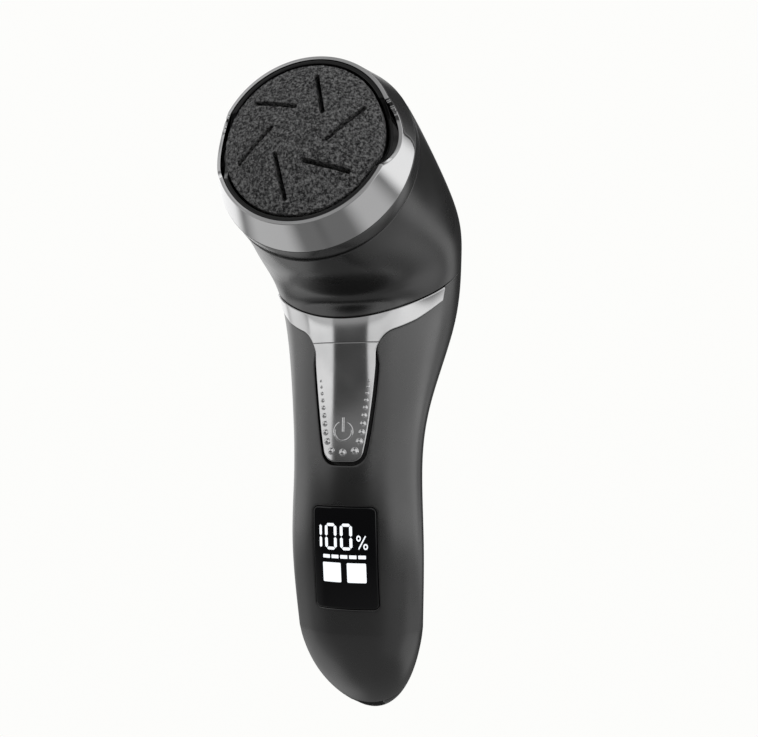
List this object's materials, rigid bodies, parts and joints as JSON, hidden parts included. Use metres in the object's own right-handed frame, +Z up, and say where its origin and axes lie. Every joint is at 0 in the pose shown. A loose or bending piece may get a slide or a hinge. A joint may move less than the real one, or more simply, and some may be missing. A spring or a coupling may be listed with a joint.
{
  "type": "electric callus remover",
  "caption": "Hand-held rotary foot file: curved handle with a lit display and a long power button, and a tilted round head with a slotted abrasive disc in a removable ring.",
  "frame": {"origin": "under the grip's axis, level with the lowest point of the handle", "axes": "+Z up along the handle towards the head, -Y out of the face that carries the disc, button and display, +X to the right seen from the front"},
  "size_m": [0.0548, 0.078, 0.1655],
  "materials": {
    "body_black": "satin soft-touch moulded plastic",
    "ring_dark": "satin moulded plastic",
    "liner_black": "glossy black moulded plastic",
    "bright_chrome": "satin bright plating",
    "bead_chrome": "polished plating",
    "icon_print": "raised plated mark",
    "window_black": "polished smoked window",
    "display_light": "white lit segments",
    "seal_rubber": "moulded rubber",
    "grit": "coated abrasive grit",
    "inner_plastic": "moulded plastic",
    "module_white": "white moulded plastic",
    "foam": "open-cell filter foam",
    "board_green": "solder-masked circuit board",
    "chip_black": "moulded chip packages",
    "screw_steel": "plated steel",
    "magnet_dark": "sintered magnet",
    "bronze": "sintered bronze and brass",
    "winding": "laminated core with enamelled winding",
    "cell_sleeve": "shrink-sleeved cell",
    "wire_red": "insulated wire",
    "wire_black": "insulated wire"
  },
  "bodies": {
    "handle": {"front_shell": "body_black", "rear_shell": "body_black", "head_shell": "body_black", "ring_seat": "ring_dark", "trim_collar": "bright_chrome", "display_window": "window_black", "display_segments": "display_light", "led_module": "module_white", "main_board": "board_green", "board_chips": "chip_black", "board_screws": "screw_steel", "switch_body": "inner_plastic", "battery_cell": "cell_sleeve", "battery_cradle": "inner_plastic", "battery_tabs": "screw_steel", "battery_leads": "wire_red", "charge_port": "screw_steel", "charge_board": "board_green", "charge_leads": "wire_black", "case_screws": "screw_steel", "head_screws": "screw_steel", "motor_mount": "inner_plastic", "motor_screws": "screw_steel", "motor_can": "screw_steel", "motor_magnets": "magnet_dark", "motor_bushes": "bronze", "motor_end_cap": "module_white", "motor_terminals": "bronze", "motor_leads": "wire_red", "fan_shroud": "inner_plastic", "dust_filter": "foam"},
    "ring": {"ring_liner": "liner_black", "ring_seal": "seal_rubber", "ring_hood": "ring_dark", "chrome_ring": "bright_chrome"},
    "spindle": {"motor_armature": "winding", "motor_shaft": "screw_steel", "impeller": "inner_plastic", "drive_hub": "inner_plastic", "hub_magnets": "magnet_dark"},
    "pad": {"pad_backing": "inner_plastic", "abrasive_pad": "grit"},
    "button": {"power_button": "bright_chrome", "button_beads": "bead_chrome", "power_icon": "icon_print"},
    "plunger": {"switch_plunger": "screw_steel"}
  },
  "joints": [
    {"name": "spindle_spin", "type": "hinge", "parent": "handle", "child": "spindle", "pos_m": [0, -0.032, 0.142], "axis": [0, -0.9659, 0.2588], "continuous": true},
    {"name": "pad_pull", "type": "slide", "parent": "spindle", "child": "pad", "axis": [0, -0.9659, 0.2588], "range_m": [0, 0.012]},
    {"name": "ring_pull", "type": "slide", "parent": "handle", "child": "ring", "axis": [0, -0.9659, 0.2588], "range_m": [0, 0.02]},
    {"name": "button_press", "type": "hinge", "parent": "handle", "child": "button", "pos_m": [0, -0.0106, 0.0994], "axis": [1, 0, 0], "range_deg": [0, 1.2]},
    {"name": "plunger_press", "type": "slide", "parent": "handle", "child": "plunger", "axis": [0, 1, 0], "range_m": [0, 0.0005]}
  ],
  "couplings": [
    {"joint": "plunger_press", "follows": "button_press", "m_per_rad": 0.0221}
  ]
}
